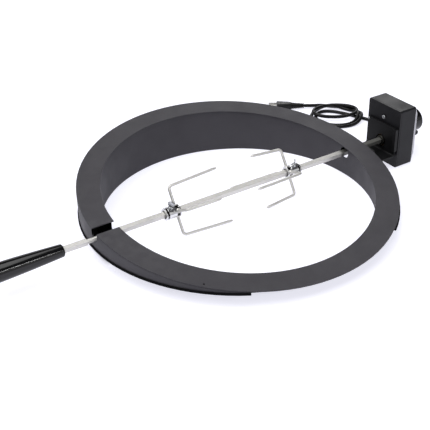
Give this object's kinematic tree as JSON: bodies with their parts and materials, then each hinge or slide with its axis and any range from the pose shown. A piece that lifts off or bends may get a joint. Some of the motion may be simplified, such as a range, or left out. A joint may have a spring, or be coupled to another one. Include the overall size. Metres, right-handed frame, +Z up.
{
  "type": "rotisserie spit roaster",
  "caption": "Wedge-shaped grill ring with a square spit across it, two sliding four-pronged forks, a tapered handle, and a gear motor on a bracket with a coiled cord.",
  "frame": {"origin": "centre of the kit's footprint on the floor, measured without the free cord", "axes": "+X along the spit from the handle to the motor, +Y towards the ring's high side, +Z up"},
  "size_m": [0.8836, 0.5722, 0.111],
  "materials": {
    "ring_paint": "baked charcoal grey enamel, matte",
    "seal_rubber": "matte heat-proof edge seal",
    "bright_steel": "drawn stainless steel",
    "dark_steel": "blackened steel",
    "chrome": "polished plating",
    "zinc": "zinc-plated steel",
    "bronze": "sintered bronze",
    "black_gloss": "gloss black moulding",
    "black_satin": "satin black moulding",
    "rear_grey": "light grey moulding",
    "bracket_paint": "satin black powder coat",
    "gear_nylon": "natural nylon",
    "cord_rubber": "black flexible cord and plug moulding",
    "brass": "turned brass",
    "nickel": "nickel-plated brass"
  },
  "bodies": {
    "frame": {"bracket_bolt_back": "zinc", "bracket_bolt_front": "zinc", "bracket_nut_back": "zinc", "bracket_nut_front": "zinc", "bracket_screw": "zinc", "bracket_spacer_back": "zinc", "bracket_spacer_front": "zinc", "cord_coil": "cord_rubber", "cord_gland": "cord_rubber", "cord_lead": "cord_rubber", "cord_tail": "cord_rubber", "cover_screw": "zinc", "drive_bush": "bronze", "edge_seal": "seal_rubber", "gear_plate": "zinc", "guide_rail": "bracket_paint", "motor_bracket": "bracket_paint", "motor_can": "zinc", "motor_front_cover": "black_satin", "motor_housing": "black_satin", "plug_blade_1": "nickel", "plug_blade_2": "nickel", "plug_body": "cord_rubber", "plug_boot": "cord_rubber", "plug_earth_pin": "nickel", "rear_cover": "rear_grey", "rear_screw_1": "zinc", "rear_screw_2": "zinc", "rear_screw_3": "zinc", "ring_inner_wall": "ring_paint", "ring_outer_wall": "ring_paint", "ring_top_plate": "ring_paint", "switch_body": "black_satin"},
    "spit": {"spit_rod": "bright_steel", "handle_grip": "black_gloss", "handle_insert": "brass"},
    "left_fork": {"left_fork_hub": "chrome", "left_tine_1": "bright_steel", "left_tine_2": "bright_steel", "left_tine_3": "bright_steel", "left_tine_4": "bright_steel"},
    "right_fork": {"right_fork_hub": "chrome", "right_tine_1": "bright_steel", "right_tine_2": "bright_steel", "right_tine_3": "bright_steel", "right_tine_4": "bright_steel"},
    "left_screw": {"left_thumb_screw": "zinc"},
    "right_screw": {"right_thumb_screw": "zinc"},
    "drive": {"drive_socket": "dark_steel", "output_gear": "gear_nylon"},
    "idler": {"idler_wheel": "gear_nylon", "idler_pinion": "brass", "idler_axle": "bright_steel"},
    "rotor": {"rotor_pinion": "brass", "rotor_shaft": "bright_steel"},
    "knob": {"power_knob": "black_gloss"}
  },
  "joints": [
    {"name": "spit_spin", "type": "hinge", "parent": "frame", "child": "spit", "pos_m": [0.024, 0, 0.042], "axis": [1, 0, 0], "continuous": true},
    {"name": "drive_spin", "type": "hinge", "parent": "frame", "child": "drive", "pos_m": [0.354, 0, 0.042], "axis": [1, 0, 0], "continuous": true},
    {"name": "idler_spin", "type": "hinge", "parent": "frame", "child": "idler", "pos_m": [0.361, 0, 0.0673], "axis": [1, 0, 0], "continuous": true},
    {"name": "rotor_spin", "type": "hinge", "parent": "frame", "child": "rotor", "pos_m": [0.368, 0, 0.0876], "axis": [1, 0, 0], "continuous": true},
    {"name": "left_fork_slide", "type": "slide", "parent": "spit", "child": "left_fork", "axis": [1, 0, 0], "range_m": [-0.07, 0.018]},
    {"name": "right_fork_slide", "type": "slide", "parent": "spit", "child": "right_fork", "axis": [1, 0, 0], "range_m": [-0.018, 0.078]},
    {"name": "left_screw_turn", "type": "hinge", "parent": "left_fork", "child": "left_screw", "pos_m": [-0.1065, 0, 0.042], "axis": [0, -0.225, 0.9744], "range_deg": [0, 540]},
    {"name": "right_screw_turn", "type": "hinge", "parent": "right_fork", "child": "right_screw", "pos_m": [0.1382, 0, 0.042], "axis": [0, -0.225, 0.9744], "range_deg": [0, 540]},
    {"name": "power_knob_turn", "type": "hinge", "parent": "frame", "child": "knob", "pos_m": [0.402, 0, 0.0625], "axis": [-1, 0, 0], "range_deg": [0, 90]}
  ],
  "couplings": [
    {"joint": "drive_spin", "follows": "spit_spin", "ratio": 1},
    {"joint": "idler_spin", "follows": "spit_spin", "ratio": -4},
    {"joint": "rotor_spin", "follows": "spit_spin", "ratio": 12}
  ]
}
